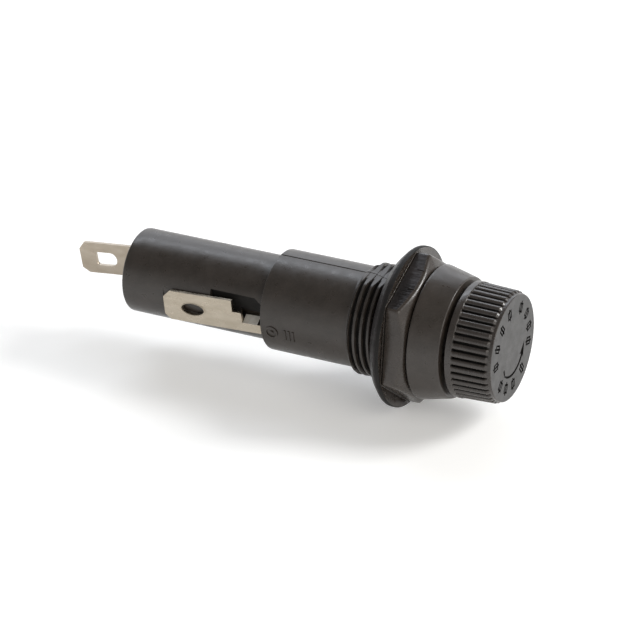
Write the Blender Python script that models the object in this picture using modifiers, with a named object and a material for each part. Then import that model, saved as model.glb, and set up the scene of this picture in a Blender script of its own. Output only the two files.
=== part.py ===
"""Panel-mount cartridge fuse holder with a bayonet knob, for a 1/4 x 1-1/4 inch glass fuse.

The holder's axis is world Y. The origin is on that axis, where the panel's front face comes: just behind
the flange's rim and its gasket. The knob points to -Y and the solder terminals to +Y; the barrel's
side terminal is on the -X side, and +Z is up. Every piece is modelled upright, with its local Z along
the axis towards the knob, and hangs on one empty that lays the whole assembly down.
Lengths in this file are millimetres until mm() turns them into Blender's metres.
"""
import math

import bmesh
import bpy

# ---- driving dimensions, mm ------------------------------------------------------------------
GAP = 0.25                      # kept between faces that touch on the real holder

# stations along the axis: 0 is the panel's front face, positive is towards the knob
KNOB_FACE = 11.9
KNOB_REAR = 5.3
FLANGE_FRONT = 4.65
GASKET_SEAT = 0.85
FLANGE_RIM = 0.3
NUT_FRONT = 0.0
NUT_REAR = -4.8
THREAD_END = -9.75
SHOULDER = -23.1
BARREL_REAR = -45.8

# radii
KNOB_BASE_R = 8.15
KNOB_CREST_R = (8.04, 7.86)     # at the rear and the front of the ridges
KNOB_BAND_R = 7.55
FLANGE_FRONT_R = 8.45
FLANGE_RIM_R = 9.45
GASKET_R = (8.8, 8.15)
THREAD_R = 7.94                 # 5/8 inch major diameter
THREAD_PITCH = 25.4 / 24
THREAD_DEPTH = 0.6
BODY_R = 7.2
BARREL_R = 6.05
FRONT_BORE_R = 6.0
REAR_BORE_R = 4.6

NUT_FLAT_R = 19.05 / 2          # 3/4 inch across the flats
NUT_COLLAR_R = 11.35
NUT_COLLAR_TOP = -2.85
NUT_BORE_R = THREAD_R + 0.2
NUT_CORNER_ANGLE = 138.0        # one corner's direction about the local Z axis, degrees
NUT_CHAMFER = 0.6               # how far the front chamfer drops for each mm of radius

RIDGES = 44
RIDGE_GROOVE_W = 0.45
LUG_ANGLE = 45.0                # how far the knob turns to lock
TRACK_R = (5.5, 6.9)            # the bayonet tracks, cut in the front bore's wall
TRACK_SPAN = (0.8, 3.4)

FUSE_LENGTH = 31.75
FUSE_R = 6.35 / 2
FUSE_FRONT = -10.15
FUSE_REAR = FUSE_FRONT - FUSE_LENGTH
CAP_LENGTH = 6.35
REAR_WALL = (-43.4, -44.6)      # inner and outer face of the barrel's end wall

SHEET = 0.5                     # terminal thickness
SIDE_BLADE_X = -6.65            # outer face
SIDE_BLADE_W = 4.55
SIDE_BLADE_TIP = -38.65
SIDE_BLADE_LEAN = 2.95          # degrees, in its own plane
TANG_REACH = (0.9, 3.0)         # along the blade from the shoulder
TANG_TOP = -0.85                # across the blade from its middle
TANG_DEPTH = -1.45              # from the blade's inner face
END_BLADE_X = 1.9               # inner face
END_BLADE_W = 4.9
END_BLADE_TIP = -57.35
END_BLADE_LEAN = 6.7

ROUND = 48                      # sides of a large turned piece
SMALL = 32


def mm(value):
    """Millimetres as Blender's metres, for a number or a point."""
    if isinstance(value, (tuple, list)):
        return tuple(v * 0.001 for v in value)
    return value * 0.001


# ---- scene and materials ---------------------------------------------------------------------
def clear_scene():
    for obj in list(bpy.data.objects):
        bpy.data.objects.remove(obj)


def new_collection(name):
    made = bpy.data.collections.new(name)
    bpy.context.scene.collection.children.link(made)
    return made


clear_scene()
PARTS = new_collection("cartridge_fuse_holder")
CUTTERS = new_collection("cutters")

AXIS = bpy.data.objects.new("holder_axis", None)
AXIS.rotation_euler = (math.radians(90), 0, 0)
PARTS.objects.link(AXIS)

FINISHES = {
    "black_plastic": ((0.030, 0.028, 0.026), 0.0, 0.45),
    "tinned_brass": ((0.62, 0.57, 0.50), 1.0, 0.35),
    "nickel_plate": ((0.66, 0.64, 0.60), 1.0, 0.25),
    "spring_steel": ((0.45, 0.45, 0.46), 1.0, 0.30),
    "black_rubber": ((0.02, 0.02, 0.02), 0.0, 0.75),
    "clear_glass": ((0.85, 0.90, 0.88), 0.0, 0.05),
    "solder": ((0.50, 0.50, 0.52), 1.0, 0.45),
}


def finish(obj, kind):
    """Give an object its own material in one of the finishes."""
    colour, metallic, roughness = FINISHES[kind]
    material = bpy.data.materials.new(obj.name)
    material.use_nodes = True
    shader = material.node_tree.nodes["Principled BSDF"]
    shader.inputs["Base Color"].default_value = (*colour, 1)
    shader.inputs["Metallic"].default_value = metallic
    shader.inputs["Roughness"].default_value = roughness
    obj.data.materials.append(material)


# ---- modelling helpers -----------------------------------------------------------------------
def add_object(name, data, collection):
    obj = bpy.data.objects.new(name, data)
    obj.parent = AXIS
    collection.objects.link(obj)
    if collection is CUTTERS:
        obj.hide_render = True
        obj.display_type = "WIRE"
    return obj


def part(obj, kind):
    """Finish a piece: its material, and smooth shading with its sharp edges kept."""
    finish(obj, kind)
    if obj.type == "MESH":
        obj.data.shade_smooth()
        obj.data.set_sharp_from_angle(angle=math.radians(35))
    return obj


def turned(name, profile, sides=ROUND, ring=False, collection=None):
    """A turned piece. The profile's (radius, height) points run down the outer side; a ring's close up."""
    mesh = bpy.data.meshes.new(name)
    edges = [(i, i + 1) for i in range(len(profile) - 1)]
    if ring:
        edges.append((len(profile) - 1, 0))
    mesh.from_pydata([mm((r, 0, h)) for r, h in profile], edges, [])
    obj = add_object(name, mesh, collection or PARTS)
    screw = obj.modifiers.new("turn", "SCREW")
    screw.angle = math.tau
    screw.steps = sides
    screw.render_steps = sides
    screw.use_merge_vertices = True
    screw.merge_threshold = 1e-6
    return obj


def settled(obj):
    """Replace an object by the mesh that its modifiers or its curve make, with the caps welded."""
    graph = bpy.context.evaluated_depsgraph_get()
    mesh = bpy.data.meshes.new_from_object(obj.evaluated_get(graph))
    made = bmesh.new()
    made.from_mesh(mesh)
    bmesh.ops.remove_doubles(made, verts=made.verts, dist=1e-6)
    made.to_mesh(mesh)
    made.free()
    name, collection = obj.name, obj.users_collection[0]
    location, rotation = obj.location.copy(), obj.rotation_euler.copy()
    bpy.data.objects.remove(obj)
    result = add_object(name, mesh, collection)
    result.location, result.rotation_euler = location, rotation
    return result


def plate(name, outlines, bottom, top, collection=None):
    """A flat piece between two heights: the first outline is its edge and the others are its holes."""
    curve = bpy.data.curves.new(name, "CURVE")
    curve.dimensions = "2D"
    curve.fill_mode = "BOTH"
    curve.extrude = mm((top - bottom) / 2)
    for outline in outlines:
        spline = curve.splines.new("POLY")
        spline.points.add(len(outline) - 1)
        for point, (x, y) in zip(spline.points, outline):
            point.co = (*mm((x, y, 0)), 1)
        spline.use_cyclic_u = True
    obj = add_object(name, curve, collection or PARTS)
    obj.location = mm((0, 0, (top + bottom) / 2))
    return settled(obj)


def arc(radius, start, end, steps, centre=(0, 0)):
    """Points on an arc, with its angles in degrees."""
    points = []
    for i in range(steps + 1):
        angle = math.radians(start + (end - start) * i / steps)
        points.append((centre[0] + radius * math.cos(angle), centre[1] + radius * math.sin(angle)))
    return points


def boxes(name, spans, collection=None):
    """One object of separate boxes, each given as its (low, high) along X, Y and Z."""
    mesh = bpy.data.meshes.new(name)
    made = bmesh.new()
    for span in spans:
        cube = bmesh.ops.create_cube(made, size=1)["verts"]
        size = [high - low for low, high in span]
        middle = [(high + low) / 2 for low, high in span]
        bmesh.ops.scale(made, verts=cube, vec=mm(size))
        bmesh.ops.translate(made, verts=cube, vec=mm(middle))
    made.to_mesh(mesh)
    made.free()
    return add_object(name, mesh, collection or PARTS)


def combine(obj, operand, operation="DIFFERENCE"):
    modifier = obj.modifiers.new(operand.name, "BOOLEAN")
    modifier.operation = operation
    modifier.object = operand
    return obj


def slot(length, width, centre, steps=8):
    """A round-ended slot's outline, its length along X."""
    reach = (length - width) / 2
    right = arc(width / 2, -90, 90, steps, (centre[0] + reach, centre[1]))
    left = arc(width / 2, 90, 270, steps, (centre[0] - reach, centre[1]))
    return right + left


# ---- the holder ------------------------------------------------------------------------------
def thread_profile():
    """The thread's crests, as rings one pitch apart, from its front end down to THREAD_END."""
    points = []
    crest = -1.1
    while crest - THREAD_PITCH / 2 > THREAD_END:
        points += [
            (THREAD_R - THREAD_DEPTH, crest + THREAD_PITCH * 0.40),
            (THREAD_R, crest + THREAD_PITCH * 0.07),
            (THREAD_R, crest - THREAD_PITCH * 0.07),
        ]
        crest -= THREAD_PITCH
    return points


def holder_body():
    """The moulded body: bezel flange, threaded neck, shoulder and barrel, with its stepped bore."""
    outside = [
        (FRONT_BORE_R + 0.3, FLANGE_FRONT),
        (FLANGE_FRONT_R - 0.22, FLANGE_FRONT),
        (FLANGE_FRONT_R, FLANGE_FRONT - 0.22),
        (FLANGE_RIM_R, FLANGE_RIM + 0.2),
        (FLANGE_RIM_R, FLANGE_RIM),
        (GASKET_R[0] + GAP, FLANGE_RIM),
        (GASKET_R[0] + GAP, GASKET_SEAT),
        (THREAD_R - 0.4, GASKET_SEAT),
    ]
    rear = [
        (BODY_R, THREAD_END),
        (BODY_R, SHOULDER + 0.1),
        (BODY_R - 0.1, SHOULDER),
        (BARREL_R, SHOULDER),
        (BARREL_R, BARREL_REAR + 0.2),
        (BARREL_R - 0.2, BARREL_REAR),
        (4.9, BARREL_REAR),
        (4.9, REAR_WALL[1]),
        (0.95, REAR_WALL[1]),
        (0.95, REAR_WALL[0]),
        (REAR_BORE_R, REAR_WALL[0]),
        (REAR_BORE_R, -13.2),
        (FRONT_BORE_R, -12.6),
        (FRONT_BORE_R, FLANGE_FRONT - 0.3),
    ]
    body = turned("holder_body", outside + thread_profile() + rear, ring=True)
    inner, outer = TRACK_R
    low, high = TRACK_SPAN
    spans = [((side * outer, side * inner), (-1.3, 1.3), (low, FLANGE_FRONT + 0.85)) for side in (1, -1)]
    entries = boxes("bayonet_entries", [(tuple(sorted(x)), y, z) for x, y, z in spans], CUTTERS)
    combine(body, entries)
    for side in (0, 180):
        start, end = side - LUG_ANGLE - 13, side + 12.5
        sector = arc(outer, start, end, 10) + arc(inner, end, start, 10)
        combine(body, plate(f"bayonet_track_{side}", [sector], low, high, CUTTERS))
    recess = boxes("terminal_recess", [((-8, -5.1), (-2.7, 2.7), (-31.6, SHOULDER))], CUTTERS)
    seat = boxes("terminal_seat", [((-8, -5.9), (-2, 2), (-39.0, -31.3))], CUTTERS)
    window = boxes("tang_window", [((-6, -3.5), (-1.35, 0.1), (-26.6, -23.5))], CUTTERS)
    tab_slot = boxes("tab_slot", [((-6.9, -5.9), (-1.3, 0.9), (SHOULDER - 0.5, -20.0))], CUTTERS)
    for cutter in (recess, seat, window, tab_slot):
        combine(body, cutter)
    return part(body, "black_plastic")


def panel_gasket():
    """The flat rubber ring that sits in the flange's rear recess."""
    front, rear = GASKET_SEAT - GAP, NUT_FRONT + GAP
    outer, inner = GASKET_R
    ring = [(outer, front), (outer, rear), (inner, rear), (inner, front)]
    return part(turned("panel_gasket", ring, SMALL, ring=True), "black_rubber")


def mounting_nut():
    """Hexagon nut with a round collar at its rear end."""
    mesh = bpy.data.meshes.new("mounting_nut")
    made = bmesh.new()
    corner = NUT_FLAT_R / math.cos(math.radians(30))
    height = NUT_FRONT - NUT_COLLAR_TOP + 0.3
    bmesh.ops.create_cone(
        made, cap_ends=True, segments=6, radius1=mm(corner), radius2=mm(corner), depth=mm(height)
    )
    turn = math.radians(NUT_CORNER_ANGLE)
    for vert in made.verts:
        x, y = vert.co.x, vert.co.y
        vert.co.x = x * math.cos(turn) - y * math.sin(turn)
        vert.co.y = x * math.sin(turn) + y * math.cos(turn)
        vert.co.z += mm(NUT_FRONT - height / 2)
    made.to_mesh(mesh)
    made.free()
    nut = add_object("mounting_nut", mesh, PARTS)
    beyond = corner + 0.3
    chamfer = [
        (0, NUT_FRONT + 1),
        (NUT_FLAT_R + 0.05, NUT_FRONT + 1),
        (NUT_FLAT_R + 0.05, NUT_FRONT),
        (beyond, NUT_FRONT - NUT_CHAMFER * (beyond - NUT_FLAT_R)),
        (beyond, NUT_REAR),
        (0, NUT_REAR),
    ]
    combine(nut, turned("nut_chamfer", chamfer, collection=CUTTERS), "INTERSECT")
    collar = [
        (0, NUT_COLLAR_TOP),
        (NUT_COLLAR_R - 0.1, NUT_COLLAR_TOP),
        (NUT_COLLAR_R, NUT_COLLAR_TOP - 0.1),
        (NUT_COLLAR_R, NUT_COLLAR_TOP - 0.95),
        (10.2, NUT_REAR),
        (0, NUT_REAR),
    ]
    combine(nut, turned("nut_collar", collar, collection=CUTTERS), "UNION")
    bore = [
        (0, NUT_FRONT + 2),
        (NUT_BORE_R, NUT_FRONT + 2),
        (NUT_BORE_R, NUT_REAR - 1),
        (0, NUT_REAR - 1),
    ]
    combine(nut, turned("nut_bore", bore, collection=CUTTERS))
    return part(nut, "black_plastic")


def side_terminal():
    """Solder blade on the barrel's side, with a tab in the shoulder and a tang to the contact sleeve.

    It is drawn flat, with X along the holder's axis and Y up, and its tab end at the shoulder.
    """
    half = SIDE_BLADE_W / 2
    strip_top = 0.55
    notch = 4.6
    length = SHOULDER - SIDE_BLADE_TIP
    tab_end, tab_root = -2.7, -1.1
    outline = [
        (length - 0.9, -half),
        (length, -half + 0.75),
        (length, half - 1.05),
        (length - 1.1, half),
        (notch, half),
        (notch, strip_top),
        (TANG_REACH[1] + 0.3, strip_top),
        (TANG_REACH[1] + 0.3, TANG_TOP),
        (GAP, TANG_TOP),
        (GAP, strip_top - 0.2),
        (tab_end, strip_top - 0.2),
        (tab_end, tab_root),
        (GAP, tab_root),
        (GAP, -half),
    ]
    hole = slot(3.5, 1.75, (10.95, -0.15))
    blade = plate("side_terminal", [outline, hole], 0, SHEET)
    tang = boxes("tang", [(TANG_REACH, (TANG_TOP - SHEET, TANG_TOP), (TANG_DEPTH, SHEET))], CUTTERS)
    for piece in (blade, tang):
        lay_blade(piece, SIDE_BLADE_X + SHEET, 0.19, SHOULDER, SIDE_BLADE_LEAN)
    combine(blade, tang, "UNION")
    return part(blade, "tinned_brass")


def lay_blade(obj, face_x, y, z, lean):
    """Stand a flat blade up: its drawn X runs down the axis from z, its Y is up, and it faces -X."""
    down = math.radians(lean)
    along = (0, -math.sin(down), -math.cos(down))
    up = (0, math.cos(down), -math.sin(down))
    out = (-1, 0, 0)
    for vert in obj.data.vertices:
        x, height, thick = vert.co.x, vert.co.y, vert.co.z + obj.location.z
        vert.co = [along[i] * x + up[i] * height + out[i] * thick for i in range(3)]
    obj.location = mm((face_x, y, z))


def contact_sleeve():
    """Split spring sleeve in the barrel's bore, which the side terminal's tang meets."""
    wall = arc(4.4, 20, 340, 30) + arc(4.15, 340, 20, 30)
    return part(plate("contact_sleeve", [wall], -27.5, -13.5), "tinned_brass")


def end_terminal():
    """Solder blade riveted to the barrel's end wall, bent up from its base."""
    base_top = REAR_WALL[1] - GAP
    half = END_BLADE_W / 2
    base_outline = [(-2.3, -half), (END_BLADE_X + SHEET, -half), (END_BLADE_X + SHEET, half), (-2.3, half)]
    base = plate("end_base", [base_outline, arc(1.0, 0, 345, 15)], base_top - SHEET, base_top, CUTTERS)
    length = base_top - SHEET / 2 - END_BLADE_TIP
    outline = [
        (0, -half),
        (length - 1.2, -half),
        (length, -half + 0.8),
        (length, half - 1.05),
        (length - 0.95, half),
        (0, half),
    ]
    hole_end = length - 2.65
    hole = [(hole_end, -0.85), (hole_end, 0.95), (hole_end - 0.2, 1.05)]
    hole += arc(1.05, 90, 270, 8, (hole_end - 2.45, 0)) + [(hole_end - 0.3, -1.05)]
    blade = plate("end_terminal", [outline, hole], 0, SHEET)
    lay_blade(blade, END_BLADE_X + SHEET, 0, base_top - SHEET / 2, END_BLADE_LEAN)
    combine(blade, base, "UNION")
    return part(blade, "tinned_brass")


def end_rivet():
    top, bottom = FUSE_REAR - GAP, -46.4
    profile = [
        (0, top), (1.3, top), (1.3, top - 0.35), (0.7, top - 0.35),
        (0.7, bottom + 0.3), (1.25, bottom + 0.3), (1.25, bottom), (0, bottom),
    ]
    return part(turned("end_rivet", profile, 24), "nickel_plate")


def end_washer():
    top = REAR_WALL[1] - 2 * GAP - SHEET
    ring = [(1.6, top), (1.6, top - 0.3), (0.95, top - 0.3), (0.95, top)]
    return part(turned("end_washer", ring, 24, ring=True), "nickel_plate")


def rear_contact_cup():
    """Cup that centres the fuse's rear cap; the end rivet holds it to the end wall."""
    floor = REAR_WALL[0] + GAP
    ring = [
        (4.25, floor + 2.2), (4.25, floor), (1.0, floor),
        (1.0, floor + 0.4), (3.85, floor + 0.4), (3.85, floor + 2.2),
    ]
    return part(turned("rear_contact_cup", ring, SMALL, ring=True), "nickel_plate")


# ---- the knob and what it carries ------------------------------------------------------------
def ridge_grooves():
    """One cutter of separate boxes, which leave the knob's ridges standing between them."""
    mesh = bpy.data.meshes.new("ridge_grooves")
    made = bmesh.new()
    low, high = 6.35, 13.0
    for i in range(RIDGES):
        cube = bmesh.ops.create_cube(made, size=1)["verts"]
        bmesh.ops.scale(made, verts=cube, vec=mm((1.5, RIDGE_GROOVE_W, high - low)))
        bmesh.ops.translate(made, verts=cube, vec=mm((KNOB_BAND_R + 0.75, 0, (low + high) / 2)))
        turn = math.tau * i / RIDGES
        for vert in cube:
            x, y = vert.co.x, vert.co.y
            vert.co.x = x * math.cos(turn) - y * math.sin(turn)
            vert.co.y = x * math.sin(turn) + y * math.cos(turn)
    made.to_mesh(mesh)
    made.free()
    return add_object("ridge_grooves", mesh, CUTTERS)


def knob():
    """Knob and its shank, moulded in one, with two bayonet lugs."""
    profile = [
        (0, KNOB_FACE),
        (7.3, KNOB_FACE),
        (KNOB_BAND_R, KNOB_FACE - 0.25),
        (KNOB_BAND_R, KNOB_FACE - 0.5),
        (KNOB_CREST_R[1], KNOB_FACE - 0.8),
        (KNOB_CREST_R[0], KNOB_REAR + 1.0),
        (KNOB_BASE_R, KNOB_REAR + 0.95),
        (KNOB_BASE_R, KNOB_REAR),
        (5.7, KNOB_REAR),
        (5.7, -8.6),
        (4.2, -8.6),
        (4.2, 3.2),
        (0.95, 3.2),
        (0.95, 8.5),
        (0, 8.5),
    ]
    piece = turned("knob", profile)
    combine(piece, ridge_grooves())
    lug_width, lug_height = (-1.0, 1.0), (1.5, 3.1)
    lugs = boxes("lugs", [((low, low + 1.6), lug_width, lug_height) for low in (5.0, -6.6)], CUTTERS)
    combine(piece, lugs, "UNION")
    return part(piece, "black_plastic")


def carrier_ferrule():
    """Sleeve in the knob's shank that grips the fuse's front cap; its rear end is split into fingers."""
    profile = [
        (3.9, 2.9), (3.9, -16.5), (3.5, -16.5), (3.5, 2.5), (0.95, 2.5), (0.95, 2.9),
    ]
    ferrule = turned("carrier_ferrule", profile, SMALL, ring=True)
    slits = boxes("ferrule_slits", [((-5, 5), (-0.3, 0.3), (-18, -9.4))], CUTTERS)
    return part(combine(ferrule, slits), "tinned_brass")


def knob_rivet():
    """Drive rivet through the ferrule's closed end into the knob."""
    profile = [(0, 8.2), (0.7, 8.2), (0.7, 2.25), (1.3, 2.25), (1.3, 1.9), (0, 1.9)]
    return part(turned("knob_rivet", profile, 24), "nickel_plate")


def spring_seat():
    ring = [(3.2, 2.2), (3.2, 1.75), (1.6, 1.75), (1.6, 2.2)]
    return part(turned("spring_seat", ring, SMALL, ring=True), "nickel_plate")


def carrier_spring():
    """Compression spring that pushes the fuse back and the knob out."""
    curve = bpy.data.curves.new("carrier_spring", "CURVE")
    curve.dimensions = "3D"
    curve.bevel_depth = mm(0.22)
    curve.bevel_resolution = 2
    curve.use_fill_caps = True
    turns, per_turn, radius = 7, 10, 2.45
    top, bottom = 1.25, -8.5
    spline = curve.splines.new("POLY")
    spline.points.add(turns * per_turn)
    for i, point in enumerate(spline.points):
        share = i / (turns * per_turn)
        angle = math.tau * turns * share
        height = top + (bottom - top) * share
        point.co = (*mm((radius * math.cos(angle), radius * math.sin(angle), height)), 1)
    return part(add_object("carrier_spring", curve, PARTS), "spring_steel")


def contact_cup():
    """Plunger between the spring and the fuse's front cap."""
    top = FUSE_FRONT + GAP
    stem = [(0, -7.4), (1.6, -7.4), (1.8, -7.7), (1.8, top + 0.9)]
    profile = stem + [(3.1, top + 0.9), (3.1, top), (0, top)]
    return part(turned("contact_cup", profile, SMALL), "nickel_plate")


# ---- the fuse --------------------------------------------------------------------------------
def fuse():
    wall = 0.27
    inner = FUSE_R - wall
    front = [
        (0, FUSE_FRONT), (FUSE_R, FUSE_FRONT), (FUSE_R, FUSE_FRONT - CAP_LENGTH),
        (inner, FUSE_FRONT - CAP_LENGTH), (inner, FUSE_FRONT - 0.35), (0, FUSE_FRONT - 0.35),
    ]
    part(turned("fuse_cap_front", front, SMALL), "nickel_plate")
    rear = [
        (0, FUSE_REAR + 0.35), (inner, FUSE_REAR + 0.35), (inner, FUSE_REAR + CAP_LENGTH),
        (FUSE_R, FUSE_REAR + CAP_LENGTH), (FUSE_R, FUSE_REAR), (0, FUSE_REAR),
    ]
    part(turned("fuse_cap_rear", rear, SMALL), "nickel_plate")
    glass_top, glass_bottom = FUSE_FRONT - 0.6, FUSE_REAR + 0.6
    tube = [(2.65, glass_top), (2.65, glass_bottom), (2.0, glass_bottom), (2.0, glass_top)]
    part(turned("fuse_glass", tube, SMALL, ring=True), "clear_glass")
    drop = 1.3
    for name, height, side in (
        ("fuse_solder_front", glass_top - drop / 2, 1),
        ("fuse_solder_rear", glass_bottom + drop / 2, -1),
    ):
        wide, narrow = (1.7, 0.4) if side > 0 else (0.4, 1.7)
        top, bottom = height + drop / 2, height - drop / 2
        bead = [(0, top), (wide, top), (narrow, bottom), (0, bottom)]
        part(turned(name, bead, 16), "solder")
    wire_top, wire_bottom = FUSE_FRONT - 0.85 - drop, FUSE_REAR + 0.85 + drop
    wire = [(0, wire_top), (0.15, wire_top), (0.15, wire_bottom), (0, wire_bottom)]
    part(turned("fuse_element", wire, 10), "spring_steel")


holder_body()
panel_gasket()
mounting_nut()
side_terminal()
contact_sleeve()
end_terminal()
end_rivet()
end_washer()
rear_contact_cup()
knob()
carrier_ferrule()
knob_rivet()
spring_seat()
carrier_spring()
contact_cup()
fuse()
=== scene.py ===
"""How the panel-mount cartridge fuse holder looks: a finished piece for every CAD node.

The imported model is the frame: its axis is world Y, +Y runs back through the panel, the origin
lies where the panel's front face comes, and the side terminal faces -X. Lengths here are
millimetres until a mesh is made, unless a comment says metres. An angle about the axis is
measured from +X towards +Z.
"""

import math

import bmesh
import bpy
from mathutils import Matrix, Vector


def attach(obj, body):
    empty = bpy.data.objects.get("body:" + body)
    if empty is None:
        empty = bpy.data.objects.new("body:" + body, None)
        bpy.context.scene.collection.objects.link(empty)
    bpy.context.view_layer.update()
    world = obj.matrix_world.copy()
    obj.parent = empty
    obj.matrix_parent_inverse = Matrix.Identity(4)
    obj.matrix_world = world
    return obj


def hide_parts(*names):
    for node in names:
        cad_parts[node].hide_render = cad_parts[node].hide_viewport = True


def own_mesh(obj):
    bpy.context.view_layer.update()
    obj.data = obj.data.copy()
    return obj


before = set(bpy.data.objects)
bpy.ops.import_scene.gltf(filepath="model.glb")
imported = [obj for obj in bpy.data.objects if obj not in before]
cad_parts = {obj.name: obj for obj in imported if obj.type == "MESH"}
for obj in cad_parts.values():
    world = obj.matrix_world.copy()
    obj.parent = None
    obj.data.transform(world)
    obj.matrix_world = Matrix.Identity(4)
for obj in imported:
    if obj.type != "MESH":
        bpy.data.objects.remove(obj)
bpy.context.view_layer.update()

# ---- driving dimensions, mm ------------------------------------------------------------------
PITCH = 25.4 / 24
THREAD_R = 7.94
THREAD_ROOT_R = 7.25
THREAD_CREST = 0.17             # half the crest's flat width
THREAD_FLANK = 0.44             # from the crest's middle to the root
THREAD_START, THREAD_END = 0.5, 9.75
PARTING_FLAT = 7.3              # the neck is cut flat here, above and below the axis
PARTING_ANGLE = 90.0            # the mould's parting line runs along the top
BODY_R = 7.2
BARREL_R = 6.05
SHOULDER = 23.1
FLANGE_R = 9.46
FRONT_BORE_R = 6.0              # the wide bore that the knob's skirt goes into
FUSE_BORE_R = 4.6
RIVET_BORE_R = 0.95
POCKET_FLOOR = 5.1              # the side blade's pocket, from the axis
POCKET_END = 31.6
POCKET_HALF = 2.7
TRACK_INNER, TRACK_OUTER = 5.5, 6.9     # the bayonet tracks' radii
TRACK_REAR, TRACK_FRONT = -0.8, -3.4
TRACK_BEFORE, TRACK_AFTER = 58, 12.5    # degrees each side of a track's entry slot

NUT_FLAT_R = 19.05 / 2
NUT_CORNER = 138.4              # one corner's angle
NUT_CORNER_R = 10.94
NUT_CORNER_BLEND = 0.05         # how gently a corner is cut back to that radius
NUT_COLLAR_R = 11.35
NUT_COLLAR_FRONT = 2.95
NUT_ROOT = 3.36                 # the collar's dished front face meets the hexagon here
NUT_CHAMFER = 0.6               # how far the front chamfer drops for each mm of radius
NUT_REAR = 4.8

KNOB_FACE = -11.9
KNOB_REAR = -5.3
KNOB_BAND_R = 7.55              # the plain band round the face
KNOB_GROOVE_R = 7.3
KNOB_REAR_RING_R = 8.15
RIDGE_FRONT_R, RIDGE_REAR_R = 7.86, 8.04
RIDGE_REAR = -6.34
RIDGE_TAPER = 0.0375            # mm of radius for each mm along the axis
RIDGES = 44
GROOVE_ANGLE = 177.1            # one groove's angle
MARK_RADIUS = 5.65
MARK_ANGLES = (98, 126, 153, 179, 220.7, 244, 269.7, 302, 342, 5, 30.3, 57.9)

SHEET = 0.5
SIDE_BLADE_WIDTH = 4.55
SIDE_BLADE_LEAN = 2.95          # degrees, in the blade's own plane
SIDE_HOLE = (10.95, -0.15)      # its centre, in the blade's plane
END_BLADE_WIDTH = 4.9
END_BLADE_LEAN = 6.7

FUSE_FRONT, FUSE_REAR = 10.15, 41.9
FUSE_R = 6.35 / 2
GLASS_FRONT, GLASS_REAR = 10.75, 41.3
SPRING_WIRE_R = 0.22

FLOOR_HEIGHT = -0.01145         # metres


# ---- mesh helpers ----------------------------------------------------------------------------
def smoothstep(low, high, value):
    share = min(1.0, max(0.0, (value - low) / (high - low)))
    return share * share * (3 - 2 * share)


def fillet(points, steps=3):
    """Round a polyline's corners, from (radius, y, corner size); size 0 leaves one alone."""
    made = []
    count = len(points)
    for i, (r, y, size) in enumerate(points):
        if not size:
            made.append((r, y))
            continue
        before, after = points[i - 1], points[(i + 1) % count]
        ends = []
        for other in (before, after):
            length = math.dist((r, y), other[:2])
            share = min(size / length, 0.48) if length > 1e-9 else 0.0
            ends.append((r + (other[0] - r) * share, y + (other[1] - y) * share))
        (r0, y0), (r1, y1) = ends
        for k in range(steps + 1):
            t = k / steps
            a, b, c = (1 - t) ** 2, 2 * t * (1 - t), t * t
            made.append((a * r0 + b * r + c * r1, a * y0 + b * y + c * y1))
    return made


def even_angles(count, start=0.0):
    return [start + 360.0 * i / count for i in range(count)]


def tidy(made):
    """Weld what meets, drop what collapsed and turn every face outwards."""
    bmesh.ops.remove_doubles(made, verts=made.verts, dist=2e-7)
    bmesh.ops.dissolve_degenerate(made, edges=made.edges, dist=1e-7)
    bmesh.ops.recalc_face_normals(made, faces=made.faces)


def new_piece(name, made):
    mesh = bpy.data.meshes.new(name)
    made.to_mesh(mesh)
    made.free()
    obj = bpy.data.objects.new(name, mesh)
    bpy.context.scene.collection.objects.link(obj)
    return obj


def lathe(name, column, angles, ring=True):
    """Skin the profile that column(angle) gives, as (radius, y) points, round the axis.

    A ring's profile closes on itself; another's first and last rows are closed by flat faces.
    """
    made = bmesh.new()
    columns = []
    for angle in angles:
        c, s = math.cos(math.radians(angle)), math.sin(math.radians(angle))
        columns.append([
            made.verts.new((r * c * 1e-3, y * 1e-3, r * s * 1e-3)) for r, y in column(angle)
        ])
    rows = len(columns[0])
    for i, here in enumerate(columns):
        there = columns[(i + 1) % len(columns)]
        for j in range(rows if ring else rows - 1):
            k = (j + 1) % rows
            made.faces.new((here[j], here[k], there[k], there[j]))
    if not ring:
        made.faces.new([line[0] for line in columns])
        made.faces.new([line[-1] for line in columns])
    tidy(made)
    return new_piece(name, made)


def turned(name, points, count=96, ring=True):
    """A round piece from its (radius, y, corner size) profile."""
    profile = fillet(points)
    return lathe(name, lambda angle: profile, even_angles(count), ring)


def evaluated(obj):
    """Apply an object's modifiers, or turn its curve into a mesh."""
    graph = bpy.context.evaluated_depsgraph_get()
    mesh = bpy.data.meshes.new_from_object(obj.evaluated_get(graph))
    made = bmesh.new()
    made.from_mesh(mesh)
    bpy.data.meshes.remove(mesh)
    tidy(made)
    name = obj.name
    bpy.data.objects.remove(obj)
    return new_piece(name, made)


def prism(name, outlines, low, high, place):
    """A flat plate from its edge's outline and then its holes'; place() puts each point."""
    curve = bpy.data.curves.new(name, "CURVE")
    curve.dimensions = "2D"
    curve.fill_mode = "BOTH"
    curve.extrude = 0.5
    for outline in outlines:
        spline = curve.splines.new("POLY")
        spline.points.add(len(outline) - 1)
        for point, (a, b) in zip(spline.points, outline):
            point.co = (a, b, 0, 1)
        spline.use_cyclic_u = True
    obj = bpy.data.objects.new(name, curve)
    bpy.context.scene.collection.objects.link(obj)
    graph = bpy.context.evaluated_depsgraph_get()
    mesh = bpy.data.meshes.new_from_object(obj.evaluated_get(graph))
    bpy.data.objects.remove(obj)
    made = bmesh.new()
    made.from_mesh(mesh)
    bpy.data.meshes.remove(mesh)
    for vert in made.verts:
        a, b, c = vert.co
        vert.co = Vector(place(a, b, low + (c + 0.5) * (high - low))) * 1e-3
    tidy(made)
    return new_piece(name, made)


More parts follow.
